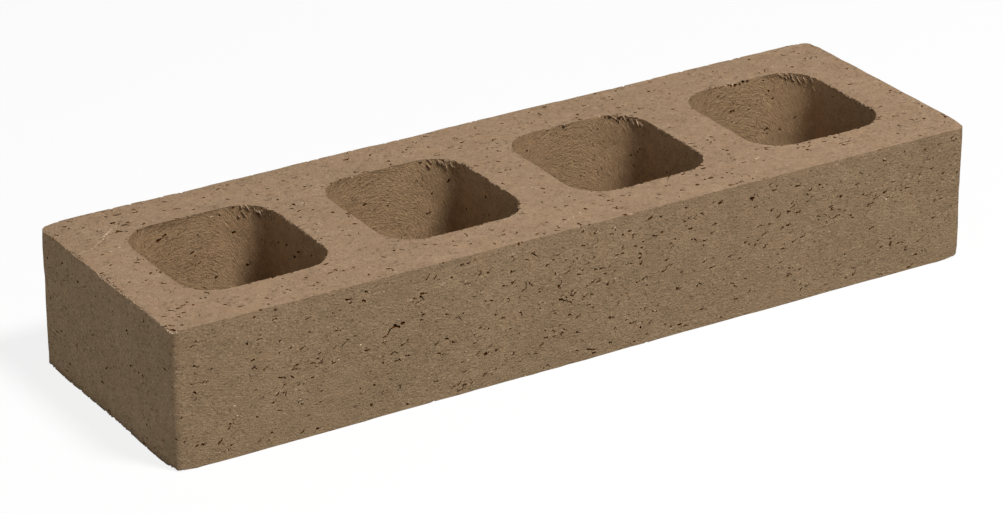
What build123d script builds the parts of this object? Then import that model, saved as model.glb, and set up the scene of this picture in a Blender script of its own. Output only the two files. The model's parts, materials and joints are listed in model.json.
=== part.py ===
from build123d import *
import os

# Long cored brick, all sizes in millimetres.
# X runs along the length, Y across the width, Z up from the lower bed.
# The origin is the middle of the lower bed.

# Outside of the brick
LENGTH = 296.0
WIDTH = 90.0
HEIGHT = 47.0

# Upright corners, rounded by the die that the clay is pushed through
CORNER_RADIUS = 2.5

# Four cores in one row, square with well rounded corners, right through from bed to bed
CORE_COUNT = 4
END_WALL = 17.5
WEB = 19.0
FACE_SHELL = 18.2
CORE_CORNER_RADIUS = 12.7

# Arrises of the two beds, cut by a wire and only just broken
BED_ARRIS = 0.5

# The cores share out the length that the end walls and the webs leave
core_length = (LENGTH - 2 * END_WALL - (CORE_COUNT - 1) * WEB) / CORE_COUNT
core_width = WIDTH - 2 * FACE_SHELL
core_pitch = core_length + WEB

# Plan of the brick as the die leaves it
with BuildSketch(Plane.XY) as plan:
    RectangleRounded(LENGTH, WIDTH, CORNER_RADIUS)
    with GridLocations(core_pitch, 0, CORE_COUNT, 1):
        RectangleRounded(core_length, core_width, CORE_CORNER_RADIUS, mode=Mode.SUBTRACT)

# Column of clay cut to the height of one brick, with the outer bed arrises broken
with BuildPart() as column:
    add(plan.sketch)
    extrude(amount=HEIGHT)
    beds = column.faces().filter_by(Axis.Z)
    chamfer([edge for bed in beds for edge in bed.outer_wire().edges()], BED_ARRIS)

brick = column.part
brick.label = "brick"

os.makedirs("parts", exist_ok=True)
export_step(brick, "parts/brick.step")
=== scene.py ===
# %% [markdown]
# # A long cored brick
# The real brick starts as a column of stiff clay. A die shapes its long faces and its four
# cores, a wire cuts it to height, and the kiln fires it brown.
# This lesson models it in the same order: the column, the cores, the tears and crumbs that the
# die and the wire leave, and then the finish of each kind of surface.
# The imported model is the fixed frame. Its box gives the size, so nothing is fitted afterwards.

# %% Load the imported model
import json
import math

import bpy
import numpy as np
from mathutils import Matrix, Vector

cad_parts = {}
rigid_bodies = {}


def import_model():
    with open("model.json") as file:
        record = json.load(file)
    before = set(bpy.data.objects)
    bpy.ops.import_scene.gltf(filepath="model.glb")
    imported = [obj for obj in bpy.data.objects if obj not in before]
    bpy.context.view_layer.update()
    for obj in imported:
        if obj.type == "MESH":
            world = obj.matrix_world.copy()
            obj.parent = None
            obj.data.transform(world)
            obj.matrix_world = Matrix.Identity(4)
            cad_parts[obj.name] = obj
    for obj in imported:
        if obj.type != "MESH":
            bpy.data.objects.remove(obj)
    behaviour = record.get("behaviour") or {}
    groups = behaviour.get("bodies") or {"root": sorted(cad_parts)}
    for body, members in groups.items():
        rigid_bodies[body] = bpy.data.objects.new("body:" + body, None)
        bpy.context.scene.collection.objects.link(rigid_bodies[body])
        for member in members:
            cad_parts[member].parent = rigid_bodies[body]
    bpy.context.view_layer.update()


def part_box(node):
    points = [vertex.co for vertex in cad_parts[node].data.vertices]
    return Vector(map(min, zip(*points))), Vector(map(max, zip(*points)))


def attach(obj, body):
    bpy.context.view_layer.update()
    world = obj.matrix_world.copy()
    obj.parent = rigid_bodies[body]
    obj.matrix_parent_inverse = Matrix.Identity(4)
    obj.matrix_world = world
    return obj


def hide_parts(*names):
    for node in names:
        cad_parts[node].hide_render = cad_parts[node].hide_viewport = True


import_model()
MM = 0.001
low, high = (Vector(corner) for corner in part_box("brick"))
LENGTH, WIDTH, HEIGHT = high - low
chance = np.random.default_rng(47)
print("brick", [round(side / MM, 2) for side in (LENGTH, WIDTH, HEIGHT)], "mm")

# %% [markdown]
# ## The camera
# The photograph looks down on the brick from the front left, through a long lens.
# The angles come from a fit to the edges and core mouths that the picture shows. A camera can be
# turned with a constraint, but a matrix of its own three axes shows plainly which way it looks.

# %% Place the camera
CAMERA_AZIMUTH = math.radians(-31.875)
CAMERA_ELEVATION = math.radians(24.777)
CAMERA_DISTANCE = 1.2617
CAMERA_LENS_MM = 141.04
AIM = Vector((-10.43, -7.94, 23.5)) * MM

back = Vector((
    math.sin(CAMERA_AZIMUTH) * math.cos(CAMERA_ELEVATION),
    -math.cos(CAMERA_AZIMUTH) * math.cos(CAMERA_ELEVATION),
    math.sin(CAMERA_ELEVATION),
))
right = Vector((math.cos(CAMERA_AZIMUTH), math.sin(CAMERA_AZIMUTH), 0))
axes = Matrix((right, back.cross(right), back)).transposed()
bpy.ops.object.camera_add()
camera = bpy.context.object
camera.data.sensor_width = 36
camera.data.lens = CAMERA_LENS_MM
camera.matrix_world = Matrix.Translation(AIM + back * CAMERA_DISTANCE) @ axes.to_4x4()
bpy.context.scene.camera = camera
bpy.context.scene.view_settings.view_transform = "Standard"
print("camera at", [round(x, 3) for x in camera.location])

# %% [markdown]
# ## Light and floor
# One soft key from the upper right front lights the top fully and the long face about half as
# much, and the left end gets only the light that the room and the floor throw back.
# A sun would shade all four cores alike. In the photograph the edge of the shadow moves from
# core to core, so the key is a round area lamp that stands only 1.6 m away.
# The room is dark above, so that the cores go deep and warm inside, and a little lighter on the
# left. The pale floor glows evenly back at the brick. Under the brick, and in the narrow shadow
# at its left end, the floor is dark.

# %% Light the stage
KEY_DIRECTION = Vector((0.17, -0.432, 0.886))
KEY_DISTANCE = 1.6
KEY_LEVEL = 1.005
KEY_DISC = math.radians(14)
SHADOW_REACH = 2 * MM
ROOM_LEFT = 0.41
FLOOR_GLOW = 0.47
SHADOW_SHARE = 0.15

bpy.ops.object.light_add(type="AREA", location=KEY_DIRECTION * KEY_DISTANCE)
key = bpy.context.object
key.rotation_euler = KEY_DIRECTION.to_track_quat("Z", "Y").to_euler()
key.data.shape = "DISK"
key.data.size = 2 * KEY_DISTANCE * math.tan(KEY_DISC / 2)
key.data.energy = KEY_LEVEL * (math.pi * KEY_DISTANCE) ** 2
print("key of", round(key.data.energy, 2), "W,", round(key.data.size, 3), "m across")


# %% Helpers for node trees
def add(tree, kind, **sockets):
    """Adds a shader node. A socket of another node is linked, and a plain value is set."""
    made = tree.nodes.new("ShaderNode" + kind)
    for name, value in sockets.items():
        feed(tree, made.inputs[name.replace("_", " ")], value)
    return made


def feed(tree, socket, value):
    """Links a socket to another node's output, or sets its value."""
    if isinstance(value, bpy.types.NodeSocket):
        tree.links.new(value, socket)
    else:
        socket.default_value = value


def fresh_tree(owner):
    """An empty node tree for a material or a world."""
    owner.use_nodes = True
    owner.node_tree.nodes.clear()
    return owner.node_tree


# %% Helpers for numbers and shaders
def maths(tree, operation, first, second):
    """The output of a Math node on two numbers or sockets."""
    made = tree.nodes.new("ShaderNodeMath")
    made.operation = operation
    feed(tree, made.inputs[0], first)
    feed(tree, made.inputs[1], second)
    return made.outputs[0]


def mixed(tree, share, first, second):
    """Two shaders mixed by a share, which is a number or a socket."""
    made = add(tree, "MixShader", Fac=share)
    feed(tree, made.inputs[1], first.outputs[0])
    feed(tree, made.inputs[2], second.outputs[0])
    return made


# %% Room
def shown_to_camera(tree):
    """1 where the camera looks, straight or by a mirror or a glass, and 0 for light."""
    path = add(tree, "LightPath")
    seen = [path.outputs[f"Is {kind} Ray"] for kind in ("Camera", "Glossy", "Transmission")]
    first = maths(tree, "MAXIMUM", seen[0], seen[1])
    return maths(tree, "MAXIMUM", first, seen[2])


world = bpy.data.worlds.new("room")
bpy.context.scene.world = world
tree = fresh_tree(world)
way = add(tree, "SeparateXYZ", Vector=add(tree, "TexCoord").outputs["Generated"])
leftness = maths(tree, "MAXIMUM", maths(tree, "MULTIPLY", way.outputs["X"], -ROOM_LEFT), 0.0)
room = add(tree, "Background", Color=(1, 1, 1, 1), Strength=leftness)
white = add(tree, "Background", Color=(1, 1, 1, 1), Strength=1.0)
add(tree, "OutputWorld", Surface=mixed(tree, shown_to_camera(tree), room, white).outputs[0])

# %% Floor
bpy.ops.object.select_all(action="DESELECT")
bpy.ops.mesh.primitive_plane_add(size=8)
floor = bpy.context.object
floor.name = "floor"
bpy.ops.object.mode_set(mode="EDIT")
for corner in (low - Vector((SHADOW_REACH, 0, 0)), high):
    for axis in ((1, 0, 0), (0, 1, 0)):
        bpy.ops.mesh.select_all(action="SELECT")
        bpy.ops.mesh.bisect(plane_co=(corner.x, corner.y, 0), plane_no=axis)
bpy.ops.object.mode_set(mode="OBJECT")
for name, glow in (("floor_paper", FLOOR_GLOW), ("floor_below", 0.0)):
    paper = bpy.data.materials.new(name)
    tree = fresh_tree(paper)
    shaded = add(tree, "BsdfDiffuse", Color=(1, 1, 1, 1))
    bright = add(tree, "Emission", Color=(1, 1, 1, 1), Strength=1.0)
    lit = add(tree, "Emission", Color=(1, 1, 1, 1), Strength=glow)
    seen = mixed(tree, SHADOW_SHARE, bright, shaded)
    add(tree, "OutputMaterial", Surface=mixed(tree, shown_to_camera(tree), lit, seen).outputs[0])
    floor.data.materials.append(paper)
for face in floor.data.polygons:
    face.material_index = int(face.center.length < WIDTH)
print("floor", [face.material_index for face in floor.data.polygons])

# %% [markdown]
# ## The column of clay
# The outside is a plain block with upright corners rounded by the die. Each core is left by a
# rod with well rounded corners, so a rod is modelled once, repeated with an Array modifier and
# taken out of the block with a Boolean.
# Both are first cut into small squares with the bisect operator, because the next steps move
# their surfaces a little, and only points can be moved.

# %% Sizes of the column
CORE_COUNT = 4
END_WALL = 17.5 * MM
WEB = 19.0 * MM
FACE_SHELL = 18.2 * MM
CORE_CORNER_RADIUS = 12.7 * MM
CORNER_RADIUS = 2.5 * MM
CELL = 3.4 * MM
core_length = (LENGTH - 2 * END_WALL - (CORE_COUNT - 1) * WEB) / CORE_COUNT
core_width = WIDTH - 2 * FACE_SHELL
core_pitch = core_length + WEB
first_core = low.x + END_WALL + core_length / 2
middle = (low + high) / 2
print("core", round(core_length / MM, 2), "by", round(core_width / MM, 2), "mm")


# %% Shape a block with bpy.ops
def add_block(name, centre, size):
    """A box of that size, with its place in its mesh."""
    bpy.ops.object.select_all(action="DESELECT")
    bpy.ops.mesh.primitive_cube_add(size=1, location=centre, scale=size)
    bpy.ops.object.transform_apply(location=True, rotation=True, scale=True)
    made = bpy.context.object
    made.name = name
    return made


def round_upright_edges(piece, corners, radius, segments):
    """Bevels upright edges of a box. Each corner is the signs of its x and y."""
    bpy.context.view_layer.objects.active = piece
    bpy.ops.object.mode_set(mode="EDIT")
    bpy.ops.mesh.select_mode(type="EDGE")
    bpy.ops.mesh.select_all(action="DESELECT")
    bpy.ops.object.mode_set(mode="OBJECT")
    centre = sum((Vector(corner) for corner in piece.bound_box), Vector()) / 8
    for edge in piece.data.edges:
        first, second = (piece.data.vertices[i].co - centre for i in edge.vertices)
        upright = abs(first.z - second.z) > 0.5 * HEIGHT
        edge.select = upright and (math.copysign(1, first.x), math.copysign(1, first.y)) in corners
    bpy.ops.object.mode_set(mode="EDIT")
    bpy.ops.mesh.bevel(offset=radius, segments=segments, affect="EDGES")
    bpy.ops.object.mode_set(mode="OBJECT")


def cut_in_cells(piece, size):
    """Bisects a piece along X, Y and Z into cells of about that size."""
    bpy.context.view_layer.objects.active = piece
    bpy.ops.object.mode_set(mode="EDIT")
    corners = [Vector(corner) for corner in piece.bound_box]
    for axis in range(3):
        start = min(corner[axis] for corner in corners)
        stop = max(corner[axis] for corner in corners)
        across = Vector([float(i == axis) for i in range(3)])
        for place in np.linspace(start, stop, round((stop - start) / size) + 1)[1:-1]:
            bpy.ops.mesh.select_all(action="SELECT")
            bpy.ops.mesh.bisect(plane_co=across * place, plane_no=across)
    bpy.ops.object.mode_set(mode="OBJECT")


# %% Block and rods
bed, skin, core_wall, broken, pit_painted_shade, grog = (
    bpy.data.materials.new(name)
    for name in ("wire_cut_bed", "die_skin", "core_wall", "broken_arris", "torn_pit_painted_shade", "pale_grog")
)

BACK_LEFT, FRONT_LEFT, BACK_RIGHT, FRONT_RIGHT = (-1, 1), (-1, -1), (1, 1), (1, -1)
CORNERS = {
    BACK_LEFT: 3.3 * MM,
    FRONT_LEFT: CORNER_RADIUS,
    BACK_RIGHT: CORNER_RADIUS,
    FRONT_RIGHT: 3.6 * MM,
}

brick = add_block("brick_body", middle, high - low)
for corner, radius in CORNERS.items():
    round_upright_edges(brick, {corner}, radius, 6)
cut_in_cells(brick, CELL)
brick.data.materials.append(skin)
brick.data.materials.append(bed)
for face in brick.data.polygons:
    face.material_index = int(abs(face.normal.z) > 0.5)

ROD_OVERRUN = 3 * MM
rod_centre = Vector((first_core, middle.y, middle.z))
rods = add_block("core_rods", rod_centre, (core_length, core_width, HEIGHT + 2 * ROD_OVERRUN))
round_upright_edges(rods, set(CORNERS), CORE_CORNER_RADIUS, 10)
cut_in_cells(rods, CELL)
rods.data.materials.append(core_wall)
row = rods.modifiers.new("row of cores", "ARRAY")
row.count = CORE_COUNT
row.use_relative_offset = False
row.use_constant_offset = True
row.constant_offset_displace = (core_pitch, 0, 0)
bpy.ops.object.modifier_apply(modifier=row.name)
print("block", len(brick.data.polygons), "faces, rods", len(rods.data.polygons))


# %% Take the rods out of the block
def carve(piece, tool, operation="DIFFERENCE"):
    """Cuts a tool out of a piece, or adds it. Cut faces wear the tool's own finish."""
    cut = piece.modifiers.new(tool.name, "BOOLEAN")
    cut.operation = operation
    cut.solver = "MANIFOLD"
    cut.material_mode = "TRANSFER"
    cut.object = tool
    bpy.context.view_layer.objects.active = piece
    bpy.ops.object.modifier_apply(modifier=cut.name)
    bpy.data.meshes.remove(tool.data)


carve(brick, rods)
print("with cores", len(brick.data.polygons), "faces,", [m.name for m in brick.data.materials])

# %% [markdown]
# Knocks have rubbed the points of five corners round, most of all at the right end. Each is
# given as the signs of its x, y and z, with a depth in millimetres.
# Proportional editing does that as a hand would: the outermost points are pulled in, and their
# neighbours follow less and less.

# %% Rub the points of the corners round
RUBBED = (
    ((1, -1, 1), 0.55),
    ((1, -1, -1), 0.5),
    ((-1, -1, -1), 0.35),
    ((1, 1, 1), 0.3),
    ((-1, 1, 1), 0.4),
)
RUB_GRIP = 3 * MM
RUB_REACH = 5 * MM
RUB_SIDEWAYS = 0.3

for signs, depth in RUBBED:
    corner = Vector([high[i] if signs[i] > 0 else low[i] for i in range(3)])
    bpy.ops.object.mode_set(mode="EDIT")
    bpy.ops.mesh.select_mode(type="VERT")
    bpy.ops.mesh.select_all(action="DESELECT")
    bpy.ops.object.mode_set(mode="OBJECT")
    for point in brick.data.vertices:
        point.select = (point.co - corner).length < RUB_GRIP
    inward = -Vector((RUB_SIDEWAYS * signs[0], RUB_SIDEWAYS * signs[1], signs[2]))
    bpy.ops.object.mode_set(mode="EDIT")
    bpy.ops.transform.translate(
        value=inward * depth * MM, use_proportional_edit=True,
        proportional_edit_falloff="SMOOTH", proportional_size=RUB_REACH,
    )
    bpy.ops.object.mode_set(mode="OBJECT")
    print("rubbed", signs, len([point for point in brick.data.vertices if point.select]), "points")

# %% [markdown]
# ## Faces that aren't quite flat
# Stiff clay drags in the die and sags a little as it dries, so no face is truly plane and the
# long arrises wander by a few tenths of a millimetre.
# Two Displace modifiers with cloud textures do this: a slow one for the faces and a quicker one
# for the arrises. They mostly push inwards, so the brick stays within its size.

# %% Let the faces wander
MOSTLY_INWARDS = 0.68


def wander(piece, name, wavelength, height):
    """Moves the points of a piece along their normals by a smooth random amount."""
    clouds = bpy.data.textures.new(name, "CLOUDS")
    clouds.noise_scale = wavelength
    clouds.noise_depth = 1
    push = piece.modifiers.new(name, "DISPLACE")
    push.texture = clouds
    push.texture_coords = "LOCAL"
    push.strength = height
    push.mid_level = MOSTLY_INWARDS
    bpy.context.view_layer.objects.active = piece
    bpy.ops.object.modifier_apply(modifier=push.name)


wander(brick, "slow_sag", 22 * MM, 0.5 * MM)
wander(brick, "arris_drag", 5 * MM, 0.35 * MM)
print("wandered", len(brick.data.vertices), "points")

# %% [markdown]
# ## Rough grains
# Everything torn on this brick is ragged: cracks, plucked pits, bitten arrises and loose crumbs.
# All of it can be cut or added with one small tool, a rough grain modelled from a sphere with
# its points shaken. A few thousand grains are placed by arrays, joined into a mesh, and the mesh
# is taken out of the brick, or added to it, with the same Boolean as the rods.
# A grain repeats so often that it has only twelve faces.

# %% Model the grains
GRAIN_KINDS = 12


def rough_grain(seed):
    """Corner places and faces of one small rough grain, 2 units long and 2 across."""
    bpy.ops.object.select_all(action="DESELECT")
    bpy.ops.mesh.primitive_uv_sphere_add(segments=4, ring_count=3, radius=1)
    made = bpy.context.object
    bpy.ops.object.mode_set(mode="EDIT")
    bpy.ops.mesh.select_all(action="SELECT")
    bpy.ops.transform.vertex_random(offset=0.3, seed=seed)
    bpy.ops.object.mode_set(mode="OBJECT")
    places = np.array([point.co[:] for point in made.data.vertices])[:, [2, 0, 1]]
    faces = [list(face.vertices) for face in made.data.polygons]
    bpy.data.meshes.remove(made.data)
    return places, faces


grains = [rough_grain(seed) for seed in range(GRAIN_KINDS)]
grain_places = np.array([places for places, faces in grains])
grain_faces = grains[0][1]
print(len(grain_faces), "faces on a grain")


# %% Join many grains into tools
def in_turns(places, reach):
    """Splits places into groups in which no two lie within reach of each other."""
    turns = []
    for i, place in enumerate(places):
        for members in turns:
            gaps = np.linalg.norm(places[members] - place, axis=1)
            if np.all(gaps > reach[members] + reach[i]):
                members.append(i)
                break
        else:
            turns.append([i])
    return turns


def grain_tool(name, finish, places, along, facing, size, turn):
    """One mesh of grains that lie on a surface. size is length, width and depth."""
    across = np.cross(facing, along)
    kinds = chance.integers(GRAIN_KINDS, size=len(places))
    shape = grain_places[kinds] * (size[:, None] * [0.5, 0.5, 1.0])
    swung = [
        shape[..., 0] * np.cos(turn)[:, None] - shape[..., 1] * np.sin(turn)[:, None],
        shape[..., 0] * np.sin(turn)[:, None] + shape[..., 1] * np.cos(turn)[:, None],
        shape[..., 2],
    ]
    spots = places[:, None] + sum(
        part[..., None] * way[:, None] for part, way in zip(swung, (along, across, facing))
    )
    step = len(grain_places[0])
    faces = [[k * step + i for i in face] for k in range(len(places)) for face in grain_faces]
    mesh = bpy.data.meshes.new(name)
    mesh.from_pydata(spots.reshape(-1, 3).tolist(), [], faces)
    mesh.materials.append(finish)
    tool = bpy.data.objects.new(name, mesh)
    bpy.context.collection.objects.link(tool)
    return tool


GRAIN_REACH = 0.7
SIZE_SPREAD = (0.35, 0.3, 0.35)


def work(operation, finish, *values):
    """Carves or adds grains in turns, so that no two of one turn overlap."""
    places, along, facing, size, turn = values
    turns = in_turns(places, np.max(size, axis=1) * GRAIN_REACH)
    for t, members in enumerate(turns):
        chosen = (value[members] for value in values)
        carve(brick, grain_tool(f"turn_{t}", finish, *chosen), operation)
    print(operation.lower(), len(places), finish.name, "in", len(turns), "turns,",
          len(brick.data.vertices), "points")


def sizes(count, length, width, depth):
    """Random sizes of grains around the given ones, in millimetres."""
    spread = np.exp(chance.normal(0, SIZE_SPREAD, (count, 3)))
    return np.array([length, width, depth]) * spread * MM


# %% [markdown]
# ## Ragged arrises
# The wire drags grains out along every edge that it crosses, so the arrises of the beds and the
# rims of the cores are finely toothed. The left end is the most worn, in a few spots and at the
# front corner, where a chip came off.
# The edges between two finishes are found in the mesh. Grains bite into them, and others stand
# out from them as teeth.

# %% Bite the arrises
WORN_SPOTS = ((38, 1.5), (17, 2.5), (-6, 8), (-43, 2))
WORN_SHARE = 14.0
EVEN_SHARE = 0.05
LEFT_SHARE = 1.2
FAR_SHARE = 0.4
UNDERSIDE_SHARE = 0.5


def arris(piece, first, second):
    """Ends of the edges between two finishes, and the normals of the two faces there."""
    mesh = piece.data
    wanted = [list(mesh.materials).index(finish) for finish in (first, second)]
    sides = {}
    for face in mesh.polygons:
        for key in face.edge_keys:
            sides.setdefault(key, {})[face.material_index] = face.normal
    rows = [
        (*mesh.vertices[a].co, *mesh.vertices[b].co, *two[wanted[0]], *two[wanted[1]])
        for (a, b), two in sides.items()
        if set(two) == set(wanted)
    ]
    return np.split(np.array(rows), 4, axis=1)


def wear(places, out):
    """How much more worn the arris is at each place. The wire tears most where walls face left."""
    at_left = places[:, 0] < low.x + CORNER_RADIUS
    spots = sum(np.abs(places[:, 1] / MM - y) < reach for y, reach in WORN_SPOTS)
    share = EVEN_SHARE + LEFT_SHARE * np.maximum(0, -out[:, 0]) + FAR_SHARE * np.maximum(0, out[:, 1])
    share = share + WORN_SHARE * (at_left & (spots > 0))
    return share * np.where(places[:, 2] > middle.z, 1.0, UNDERSIDE_SHARE)


def along_arris(wall, per_mm):
    """Random places on the arris of a wall with a bed, and the directions there."""
    starts, stops, out, up = arris(brick, wall, bed)
    runs = np.linalg.norm(stops - starts, axis=1)
    weights = runs * wear(starts, out)
    count = int(per_mm * runs.sum() / MM)
    picked = chance.choice(len(runs), count, p=weights / weights.sum())
    places = starts[picked] + (stops - starts)[picked] * chance.random((count, 1))
    return places, (stops - starts)[picked] / runs[picked, None], out[picked], up[picked]


def bite(wall, per_mm, size):
    """Bites steeply into an arris with random grains."""
    places, along, out, up = along_arris(wall, per_mm)
    facing = out + up * 0.7 * chance.random((len(places), 1)) ** 2
    facing /= np.linalg.norm(facing, axis=1, keepdims=True)
    turn = np.radians(chance.normal(0, 20, len(places)))
    work("DIFFERENCE", broken, places, along, facing, sizes(len(places), *size), turn)


def burr(wall, finish, per_mm, size):
    """Leaves teeth standing out from an arris, just under the bed."""
    places, along, out, up = along_arris(wall, per_mm)
    turn = np.radians(chance.normal(0, 20, len(places)))
    places = places - up * 0.3 * size[1] * MM
    work("UNION", finish, places, along, out, sizes(len(places), *size), turn)


bite(skin, 0.15, (1.3, 1.0, 0.5))
burr(skin, broken, 0.06, (0.7, 0.5, 0.06))
bite(core_wall, 0.13, (1.2, 1.4, 0.4))
burr(core_wall, bed, 0.19, (1.35, 0.65, 0.42))

# %% [markdown]
# The cores are a little different at their far right rims. There the wire pulled the clay down
# into the core in slanting strokes, 2 or 3 mm long. They are cut and raised with long thin
# grains, so that light and dark strokes lie side by side. The cut strokes are painted dark, as
# painted shade in them.

# %% Drag strokes down the far rims
STROKES = 15
STROKE_ARC = (math.radians(66), math.radians(10))
STROKE_SLANT = math.radians(36)
STROKE_LENGTH = 2.3
STROKE_DROP = 1.7 * MM
STROKE_SPREAD = 1.0 * MM


def drag(operation, finish, core, start, width, depth):
    """Cuts or raises a fan of strokes in one core's far right corner."""
    angle = np.linspace(*STROKE_ARC, STROKES) + start + chance.normal(0, 0.02, STROKES)
    out = np.stack([np.cos(angle), np.sin(angle), 0 * angle], axis=1)
    turn_centre = np.array([
        first_core + core * core_pitch + core_length / 2 - CORE_CORNER_RADIUS,
        middle.y + core_width / 2 - CORE_CORNER_RADIUS,
        high.z - STROKE_DROP,
    ])
    places = turn_centre + out * CORE_CORNER_RADIUS
    places[:, 2] += STROKE_SPREAD * chance.normal(0, 1, STROKES)
    down = np.tile([0.0, 0.0, -1.0], (STROKES, 1))
    turn = chance.normal(STROKE_SLANT, 0.2, STROKES)
    work(operation, finish, places, down, -out, sizes(STROKES, STROKE_LENGTH, width, depth), turn)


for core in range(CORE_COUNT):
    # The cut strokes wear the torn_pit_painted_shade finish, whose near black-brown is painted shade.
    drag("DIFFERENCE", pit_painted_shade, core, 0.0, 0.24, 0.28)
    drag("UNION", broken, core, 0.03, 0.35, 0.2)

# %% [markdown]
# ## Tears and pits
# The die tears the stiff clay into short cracks that lie along the brick, and the wire
# plucks rounder pits out of the beds. Most are 1 to 3 mm long, hooked and ragged, and many lie
# close together. Their walls are painted dark, as painted shade inside them.
# Bump alone would look flat along the arrises, so each tear is a real cut: a chain of one to
# five grains. Each turns a little from the one before and is thinner, so that a tear ends in a
# fine tail.

# %% Places on a finish
CROWD_REACH = 70 * MM


def surface(piece, finish):
    """Corners and normals of the triangles that wear one finish."""
    mesh = piece.data
    mesh.calc_loop_triangles()
    slot = list(mesh.materials).index(finish)
    wanted = [t for t in mesh.loop_triangles if t.material_index == slot]
    points = np.array([point.co[:] for point in mesh.vertices])
    corners = points[np.array([t.vertices[:] for t in wanted])]
    return corners, np.array([t.normal[:] for t in wanted])


def scatter(corners, normals, count, end_share, rear_share, crowd):
    """Random places by area, rarer on the ends and far sides, and crowded to the middle."""
    sides = corners[:, 1:] - corners[:, :1]
    areas = np.linalg.norm(np.cross(sides[:, 0], sides[:, 1]), axis=1)
    areas = areas * np.where(np.abs(normals[:, 0]) > 0.7, end_share, 1.0)
    areas = areas * np.where(normals @ [1, 1, -1] > 0.5, rear_share, 1.0)
    areas = areas * (1 + crowd * np.exp(-((corners[:, 0, 0] / CROWD_REACH) ** 2)))
    picked = chance.choice(len(areas), count, p=areas / areas.sum())
    share = chance.dirichlet((1, 1, 1), count)
    return np.einsum("nk,nkc->nc", share, corners[picked]), normals[picked]


def level_on(facing):
    """For each normal, the level direction along the surface."""
    upright = np.abs(facing[:, 2:]) < 0.7
    along = np.where(upright, np.cross([0, 0, 1], facing), [1.0, 0, 0])
    along -= facing * np.sum(along * facing, axis=1, keepdims=True)
    return along / np.linalg.norm(along, axis=1, keepdims=True)


# %% Tear the faces
THINNING = (0.95, 0.72, 0.85)
LINK_STEP = 0.62
LINK_BEND = 0.55
CLOSE_SHARE = 0.4
CLOSE_ALONG = 2.4
CLOSE_ACROSS = 1.2


def chain(places, facing, heading, links, length, width, depth):
    """Cuts chains of grains that set off from places and wander from their headings."""
    along = level_on(facing)
    across = np.cross(facing, along)
    cuts = []
    for link in range(links.max()):
        size = sizes(len(places), length, width, depth) * np.array(THINNING) ** link
        still = links > link
        cuts.append([value[still] for value in (places, along, facing, size, heading)])
        ahead = along * np.cos(heading)[:, None] + across * np.sin(heading)[:, None]
        places = places + LINK_STEP * size[:, :1] * ahead
        heading = heading + chance.normal(0, LINK_BEND, len(heading))
    # The cuts wear the torn_pit_painted_shade finish, whose near black-brown is painted shade.
    work("DIFFERENCE", pit_painted_shade, *(np.concatenate(values) for values in zip(*cuts)))


def tear(finish, count, links, size, slant, spread, end_share=1.0, rear_share=1.0, crowd=0.0):
    """Tears a finish with chains of random length, some of them close to another."""
    places, facing = scatter(*surface(brick, finish), count, end_share, rear_share, crowd)
    near = chance.integers(count, size=count)
    alike = np.linalg.norm(facing[near] - facing, axis=1) < 0.05
    moved = (chance.random(count) < CLOSE_SHARE) & alike
    along = level_on(facing)
    offset = chance.normal(0, CLOSE_ALONG, (count, 1)) * along
    offset += chance.normal(0, CLOSE_ACROSS, (count, 1)) * np.cross(facing, along)
    places[moved] = places[near[moved]] + offset[moved] * MM
    heading = np.radians(chance.normal(slant, spread, count))
    chain(places, facing, heading, 1 + chance.poisson(links, count), *size)
    return places, facing


skin_tears = tear(
    skin, 640, 1.4, (0.9, 0.6, 0.7), 8, 20, end_share=0.3, rear_share=0.35, crowd=0.9,
)
bed_tears = tear(bed, 490, 0.8, (0.9, 0.85, 0.7), -25, 35, rear_share=0.35)
core_tears = tear(core_wall, 210, 0.5, (0.8, 0.6, 0.6), 10, 40)

# %% [markdown]
# ## Marks that tell this brick from another
# A few large tears and pits stand out in the photograph. They are listed one by one, each as a rough
# place in millimetres, and some also with the way they head in degrees or with how many grains
# long they are. The mesh itself knows the nearest point of the surface and which way it faces.

# %% Tear the large ones
FRONT_TEARS = (
    (-71.8, 30, -35, 2), (-69, 30, 0, 1), (-69.4, 22.5, 15, 3),
    (-73, 20.5, 25, 4), (-71.5, 17.7, 5, 3), (-83, 41, 10, 3), (-62.5, 37.3, -35, 3),
    (108, 27.5, 35, 4), (111, 29.5, 20, 3), (114.5, 30.8, 10, 4),
)
FRONT_PITS = (
    (138.7, 32.1), (144.6, 31), (136.5, 26.3), (117.9, 11.1), (93.3, 30), (66.8, 23.1), (18.1, 30.7),
    (-11.9, 23.5), (0.7, 35), (48.6, 42.6), (68.1, 44.4),
)
BED_DASHES = ((-124, 39.8), (-127.6, 34.8), (-125.2, 31.6), (-128.6, 28.4), (-117.7, 38.6))
BED_PITS = ((-134, 31.7), (-140.7, 14.9), (-141.9, 7), (-142.6, -7), (-137.6, -8.4))
END_PITS = (
    (34.9, 46.4), (39.4, 38.1), (29.3, 40.2), (25.4, 37.5), (18.3, 38.3), (13.5, 38.5), (38.7, 24.6),
    (31.9, 15.9),
)
CORE_PITS = (
    (-85.4, 24.8, 26.1, 4), (-104.1, 26.8, 33.8, 3), (-101.4, 26.8, 39.7, 1), (-89.2, 26.4, 37.6, 2),
    (-93.4, 26.8, 44.4, 1), (-113.4, 26.8, 42.2, 2), (-115.5, 26.8, 41, 3), (-95.6, 26.8, 23.3, 2),
    (-32.2, 26.8, 33.4, 2), (-41.1, 26.8, 35.8, 2), (-17.9, 26.1, 27.5, 3), (-9.5, 3.6, 40, 3),
    (117.7, 26.8, 26.7, 3), (120.1, 26.6, 37.7, 2), (103.2, 26.8, 36.6, 3), (97.6, 26.8, 43.3, 2),
    (-79.5, 9.4, 37.7, 2), (-79.5, 2.2, 38.1, 3), (-79.5, 4.5, 35.5, 2),
)


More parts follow.
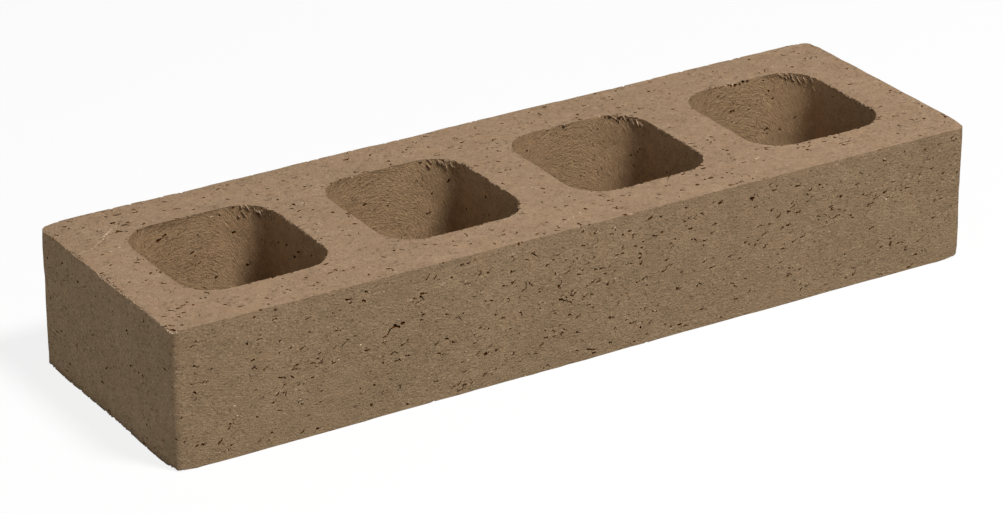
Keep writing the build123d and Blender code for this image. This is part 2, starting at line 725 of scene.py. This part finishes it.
def on_surface(spots):
    """The nearest points of the brick to rough places in millimetres, with their normals."""
    found = [brick.closest_point_on_mesh(Vector(spot) * MM) for spot in spots]
    return np.array([hit[1] for hit in found]), np.array([hit[2] for hit in found])


def cut_marks(spots, heading, links, size):
    """Cuts a chain of grains at each rough place. heading and links are one value or many."""
    places, facing = on_surface(spots)
    count = len(places)
    chain(places, facing, np.zeros(count) + heading, np.zeros(count, int) + links, *size)


front_spots = [(x, low.y / MM, z) for x, z, way, links in FRONT_TEARS]
front_ways = np.radians([way for x, z, way, links in FRONT_TEARS])
cut_marks(front_spots, front_ways, [mark[3] for mark in FRONT_TEARS], (1.2, 0.85, 0.9))
cut_marks([(x, y, high.z / MM) for x, y in BED_DASHES], -0.4, 3, (1.05, 1.3, 0.9))
round_pits = [(x, y, high.z / MM) for x, y in BED_PITS] + [(low.x / MM, y, z) for y, z in END_PITS]
round_pits += [(x, low.y / MM, z) for x, z in FRONT_PITS]
cut_marks(round_pits, 0.5, 2, (0.8, 0.8, 0.7))
cut_marks([mark[:3] for mark in CORE_PITS], 0.3, [mark[3] for mark in CORE_PITS], (0.9, 0.9, 0.8))

# %% [markdown]
# A chip came off the front left corner and left a pale lip, and the far rim of the fourth core
# crumbled. The upper arris of the left end is worn in two spots. All of these are cut with single
# larger grains where two faces meet.

# %% Chip a corner and a rim
CHIP = ((-146.9, -43.0, 47, 1.7), (-146.4, -43.8, 46.9, 1.3))
CHIP_LIP = ((-148, -42.3, 46.6), (-147.8, -43.4, 46.3), (-147.2, -44.2, 46.2))
RIM_CHIPS = ((104, 26.6, 47, 2.4), (107.5, 26.6, 47, 2.2))
RIM_PITS = (
    (101.8, 27, 46.6, 0.8), (103, 26.8, 46.2, 1.1), (104.6, 27.2, 46, 1.8), (106.6, 27.2, 46.2, 1.5),
    (108.2, 27.4, 46.4, 1.5), (109.6, 27, 46.4, 1.2),
)
WORN_ARRIS = -147
WORN_PITS = (18.3, 17.1, 15.8, 1.2, -0.8, -2.6, -4.6, -6.2, -7.4, -9.6, -11.4)


def chip(spots, finish):
    """Cuts round chips with rough places and sizes in millimetres."""
    places, facing = on_surface([spot[:3] for spot in spots])
    wide = np.array([spot[3] for spot in spots])[:, None]
    turn = chance.normal(0, 1, len(spots))
    work("DIFFERENCE", finish, places, level_on(facing), facing, wide * [1.0, 0.8, 0.45] * MM, turn)


def stand(spots, finish, size):
    """Lets grains stand out at rough places in millimetres."""
    places, facing = on_surface(spots)
    count = len(places)
    work("UNION", finish, places, level_on(facing), facing, sizes(count, *size), np.zeros(count))


chip(RIM_CHIPS, broken)
# Most chips wear the torn_pit_painted_shade finish, whose near black-brown is painted shade; the rim
# chips wear broken_arris.
chip(RIM_PITS + CHIP, pit_painted_shade)
chip([(WORN_ARRIS + chance.normal(0, 0.5), y, 47, 0.8) for y in WORN_PITS], pit_painted_shade)
stand(CHIP_LIP, grog, (1.3, 0.6, 0.25))

# %% [markdown]
# ## Crumbs and grog
# Torn clay leaves a raised lip or a loose grain beside many tears. They catch the light, and
# without them the tears look punched. Crushed pale brick, called grog, shows as cream specks.


# %% Set crumbs beside the tears
def crumb(tears, finish, share, reach):
    """Adds a low grain beside some tears, mostly above them."""
    places, facing = tears
    flat = np.max(np.abs(facing), axis=1) > 0.97
    chosen = np.flatnonzero(flat & (chance.random(len(places)) < share))
    count = len(chosen)
    along = level_on(facing[chosen])
    across = np.cross(facing[chosen], along)
    side = chance.normal(0.5, 0.3, (count, 1)) * np.where(chance.random((count, 1)) < 0.75, 1, -1)
    spots = places[chosen] + (across * side + along * chance.normal(0.2, 0.4, (count, 1))) * MM
    size = sizes(count, reach, 0.75 * reach, 0.2 * reach)
    work("UNION", finish, spots, along, facing[chosen], size, chance.normal(0, 0.7, count))


crumb(skin_tears, broken, 0.35, 0.8)
crumb(bed_tears, broken, 0.3, 0.8)
crumb(core_tears, broken, 0.5, 0.8)
crumb(skin_tears, grog, 0.06, 0.5)

# %% Set the large specks
SPECKS = (
    (-104.1, 26.8, 35.2), (-95.6, 26.8, 24.6), (-96.3, 26.8, 44.7), (-118.6, 26.8, 36.5),
    (-32.2, 26.8, 34.6), (-41.1, 26.8, 37.0),
    (-75.5, -45, 42.2), (-83.9, -45, 26.4), (-91.6, -45, 23.3), (-107.1, -45, 32.1),
    (-125.9, -45, 39.6), (-126.8, -45, 13.7), (-127.7, -45, 17.3), (-113.8, -35.7, 47),
    (74.6, -29.2, 47), (73.4, -29.9, 47), (-2.2, -37.4, 47), (-6.6, -39.5, 47), (1.5, -35.5, 47),
)
stand(SPECKS, grog, (0.7, 0.5, 0.12))

# %% [markdown]
# Three marks are longer than a chain of grains: a crooked crack in the front, and two pale
# scratches on the upper bed that thin out to the left. Each follows a line of a few points.

# %% Follow three lines
LINE_STRAY = 0.1


def follow(line, count, stray):
    """Places along a line of points in millimetres, and the way that it heads at each."""
    knots, steps = np.linspace(0, 1, len(line)), np.linspace(0, 1, count)
    spots = np.stack([np.interp(steps, knots, side) for side in zip(*line)], axis=1)
    course = np.gradient(spots, axis=0)
    return spots + chance.normal(0, stray, spots.shape), np.arctan2(course[:, 1], course[:, 0])


CRACK = ((-75.9, 26.9), (-74.1, 27.5), (-73.6, 28.9), (-72.6, 29.1), (-71.6, 29.9), (-70.3, 29))
CRACK_GRAINS = 12
spots, turn = follow(CRACK, CRACK_GRAINS, LINE_STRAY)
places, facing = on_surface([(x, low.y / MM, z) for x, z in spots])
size = sizes(CRACK_GRAINS, 1.2, 0.65, 0.8)
# The crack wears the torn_pit_painted_shade finish, painted dark as painted shade.
work("DIFFERENCE", pit_painted_shade, places, level_on(facing), facing, size, turn)

SCRATCHES = (
    (44, 4, ((-129.5, 30.8), (-133.3, 27.7), (-136.4, 24.3), (-140.9, 20.6), (-144.7, 19.9))),
    (14, 9, ((-133.2, 17.3), (-134.8, 17.2), (-136.8, 16.3), (-138.7, 14.9))),
)
for count, cream_step, line in SCRATCHES:
    spots, turn = follow(line, count, LINE_STRAY)
    places, facing = on_surface([(x, y, high.z / MM) for x, y in spots])
    size = sizes(count, 0.9, 0.4, 0.08) * np.linspace(1.15, 0.8, count)[:, None]
    cream = np.arange(count) % cream_step == 1
    for finish, part in ((broken, ~cream), (grog, cream)):
        chosen = (value[part] for value in (places, level_on(facing), facing, size, turn))
        work("UNION", finish, *chosen)

# %% [markdown]
# Here and there two cuts meet under a crumb and leave it loose. Only what hangs together with
# the rest of the brick is kept.
# No grain may stand outside the size that the wall is set out with, so the few points that
# still do are pushed back to it.

# %% Drop loose crumbs
bpy.context.view_layer.objects.active = brick
bpy.ops.object.mode_set(mode="EDIT")
bpy.ops.mesh.select_mode(type="VERT")
bpy.ops.mesh.select_all(action="DESELECT")
bpy.ops.object.mode_set(mode="OBJECT")
lowest = min(brick.data.vertices, key=lambda point: point.co.x + point.co.y + point.co.z)
lowest.select = True
bpy.ops.object.mode_set(mode="EDIT")
bpy.ops.mesh.select_linked()
bpy.ops.mesh.select_all(action="INVERT")
bpy.ops.mesh.delete(type="VERT")
bpy.ops.object.mode_set(mode="OBJECT")
print("kept", len(brick.data.vertices), "points")

# %% Keep to the size
points = np.empty(len(brick.data.vertices) * 3, dtype=np.float32)
brick.data.vertices.foreach_get("co", points)
points = points.reshape(-1, 3)
proud = np.any((points < np.array(low)) | (points > np.array(high)), axis=1)
brick.data.vertices.foreach_set("co", np.clip(points, low, high).ravel())
brick.data.update()
print("points pushed back", int(proud.sum()), "of", len(points))

# %% [markdown]
# ## Finish
# The fired clay is one matt brown all over, with a fine sandy grain. What differs is how it was
# cut: the beds are dragged evenly by the wire, the outer faces are smoothed along the brick by
# the die, and the core walls are rippled in arches. The core walls also get a lighter brown than
# the beds and faces, which is painted light inside the cores.
# So one recipe makes all the finishes. Noise in object space gives the grain, which is mostly
# relief and only a little colour. A stretch in height draws the grain out along the brick, and
# coordinates that are bent into arches turn it into the ripples of the core walls.
# The walls of the tears are the same clay, painted much darker as painted shade inside them.


# %% Helpers for colours
def noise(tree, where, per_mm, detail, rough=0.6):
    """Cloudy values around 0.5, with features of about 1 / per_mm millimetres."""
    made = add(tree, "TexNoise", Vector=where, Scale=per_mm, Detail=detail, Roughness=rough)
    return made.outputs[0]


def remap(tree, value, start, stop, bottom=0.0, top=1.0):
    """Stretches a range of values to another one, held at its two ends."""
    made = add(tree, "MapRange", Value=value)
    for name, number in zip(("From Min", "From Max", "To Min", "To Max"), (start, stop, bottom, top)):
        made.inputs[name].default_value = number
    return made.outputs[0]


def blend(tree, kind, share, first, second):
    """Two colours mixed in one of Blender's ways."""
    made = tree.nodes.new("ShaderNodeMix")
    made.data_type = "RGBA"
    made.blend_type = kind
    for socket, value in zip((made.inputs[0], made.inputs[6], made.inputs[7]), (share, first, second)):
        feed(tree, socket, value)
    return made.outputs[2]


def specks(tree, ground, where, per_mm, radius, share, colour):
    """Lays dots on a ground colour, each more or less strong. radius counts cell widths."""
    cells = add(tree, "TexVoronoi", Vector=where, Scale=per_mm)
    dot = remap(tree, cells.outputs["Distance"], radius, 0.5 * radius)
    tone = add(tree, "SeparateColor", Color=cells.outputs["Color"]).outputs[0]
    strength = maths(tree, "MULTIPLY", dot, remap(tree, tone, 0.2, 1.0, 0.0, share))
    return blend(tree, "MIX", strength, ground, colour)


# %% Ways in which a grain is drawn out
MM_PER_M = 1000
ARCH_PER_MM = 0.03
ARCH_WAVE = 2.5 * MM
ARCH_STRETCH = 2.2


def level_flow(stretch):
    """Coordinates in millimetres that draw a grain out level, more with a larger stretch."""
    scale = (MM_PER_M, MM_PER_M, MM_PER_M * stretch)
    return lambda tree, spot: add(tree, "Mapping", Vector=spot, Scale=scale).outputs[0]


def arched_flow(tree, spot):
    """Coordinates that draw a grain out in arches, which hang down beside each core's middle."""
    x, y, z = add(tree, "SeparateXYZ", Vector=spot).outputs
    turn = maths(tree, "MODULO", maths(tree, "ADD", x, CORE_COUNT * core_pitch / 2), core_pitch)
    aside = maths(tree, "SUBTRACT", turn, core_pitch / 2)
    drop = maths(tree, "MULTIPLY", maths(tree, "MULTIPLY", aside, aside), ARCH_PER_MM / MM)
    round_corner = maths(tree, "ABSOLUTE", y, 0.0)
    height = maths(tree, "SUBTRACT", maths(tree, "ADD", z, drop), round_corner)
    wavy = maths(tree, "MULTIPLY", noise(tree, spot, 300, 2), ARCH_WAVE)
    arched = add(tree, "CombineXYZ", X=x, Y=y, Z=maths(tree, "ADD", height, wavy)).outputs[0]
    scale = (MM_PER_M, MM_PER_M, MM_PER_M * ARCH_STRETCH)
    return add(tree, "Mapping", Vector=arched, Scale=scale).outputs[0]


# %% Recipe for fired clay
CREAM = (0.62, 0.51, 0.38, 1)


def clay(material, colour, grain_mm, flow, height, sand=0.26, fleck=0.5, tick_shade=0.7, swell=0.6, gloss=0.1):
    """Matt fired clay. flow makes the coordinates along which its grain is drawn out."""
    tree = fresh_tree(material)
    spot = add(tree, "TexCoord").outputs["Object"]
    even = level_flow(1.0)(tree, spot)
    drawn = flow(tree, spot)
    grit = noise(tree, even, 1.6, 3, 0.65)
    grain = noise(tree, drawn, 1 / grain_mm, 3, 0.6)
    roll = noise(tree, drawn, 0.35 / grain_mm, 2)

    light = remap(tree, noise(tree, even, 0.04, 3), 0.3, 0.7, 0.94, 1.06)
    patchy = remap(tree, noise(tree, even, 0.28, 2), 0.3, 0.7, 0.91, 1.09)
    sandy = remap(tree, grit, 0.25, 0.75, 1 - sand, 1 + sand)
    shade = maths(tree, "MULTIPLY", maths(tree, "MULTIPLY", light, patchy), sandy)
    brown = blend(tree, "MULTIPLY", 1.0, (*colour, 1), shade)
    rust = remap(tree, noise(tree, even, 0.11, 2), 0.4, 0.65, 0.0, 0.35)
    brown = blend(tree, "MULTIPLY", rust, brown, (1.0, 0.93, 0.88, 1))

    mottle = noise(tree, drawn, 0.8, 3, 0.6)
    # Ticks are tiny dents in the relief, and painting them dark is painted shade inside them.
    ticks = remap(tree, mottle, 0.62, 0.69)
    tick_painted_shade = (*(part * tint for part, tint in zip(colour, (0.36, 0.27, 0.18))), 1)
    brown = blend(tree, "MIX", maths(tree, "MULTIPLY", ticks, tick_shade), brown, tick_painted_shade)
    flecks = remap(tree, mottle, 0.385, 0.31, 0.0, fleck)
    pale = (*(min(1.0, part * tint) for part, tint in zip(colour, (1.6, 1.72, 1.92))), 1)
    brown = blend(tree, "MIX", flecks, brown, pale)
    warp = add(tree, "TexNoise", Vector=even, Scale=1.5).outputs["Color"]
    ragged = blend(tree, "MIX", 0.5, even, warp)
    brown = specks(tree, brown, ragged, 0.38, 0.075, 0.8, CREAM)

    relief = maths(tree, "ADD", grain, maths(tree, "MULTIPLY", grit, 0.5))
    relief = maths(tree, "ADD", relief, maths(tree, "MULTIPLY", roll, swell))
    relief = maths(tree, "SUBTRACT", relief, maths(tree, "MULTIPLY", ticks, 0.6))
    bump = add(tree, "Bump", Height=relief, Distance=height * MM, Strength=1.0)
    rough = remap(tree, grain, 0.3, 0.7, 0.85, 0.97)
    shader = add(
        tree, "BsdfPrincipled", Base_Color=brown, Roughness=rough, Normal=bump.outputs[0],
        Specular_IOR_Level=gloss,
    )
    add(tree, "OutputMaterial", Surface=shader.outputs[0])


# %% Finishes of the brick
clay(bed, (0.354, 0.238, 0.147), 0.9, level_flow(1.0), 0.42, sand=0.28, fleck=0.45, tick_shade=0.35)
clay(skin, (0.346, 0.237, 0.138), 0.9, level_flow(1.4), 0.38, sand=0.28, fleck=0.7)
# The core wall brown is lighter than the bed and skin browns: painted light inside the cores.
clay(core_wall, (0.465, 0.303, 0.168), 1.15, arched_flow, 0.42, sand=0.25, fleck=0.3, swell=0.1)
clay(broken, (0.43, 0.3, 0.195), 0.9, level_flow(1.0), 0.3)
# torn_pit_painted_shade is the same clay painted much darker: painted shade in tears and pits.
clay(pit_painted_shade, (0.1, 0.04, 0.01), 0.9, level_flow(1.0), 0.2, fleck=0.0, gloss=0.0)
clay(grog, (0.72, 0.57, 0.4), 0.9, level_flow(1.0), 0.2, fleck=0.0)
print("finishes", [m.name for m in brick.data.materials])

# %% [markdown]
# ## Hand over
# The finished brick rides on the part's only body and stands for its solid.

# %% Ride, replace and measure
bpy.ops.object.select_all(action="DESELECT")
brick.select_set(True)
bpy.context.view_layer.objects.active = brick
bpy.ops.object.shade_smooth_by_angle(angle=math.radians(32))
smooth = {list(brick.data.materials).index(finish) for finish in (bed, skin, core_wall)}
for face in brick.data.polygons:
    face.use_smooth = face.material_index in smooth
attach(brick, "root")
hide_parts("brick")
brick.data.calc_loop_triangles()
print("triangles", len(brick.data.loop_triangles))
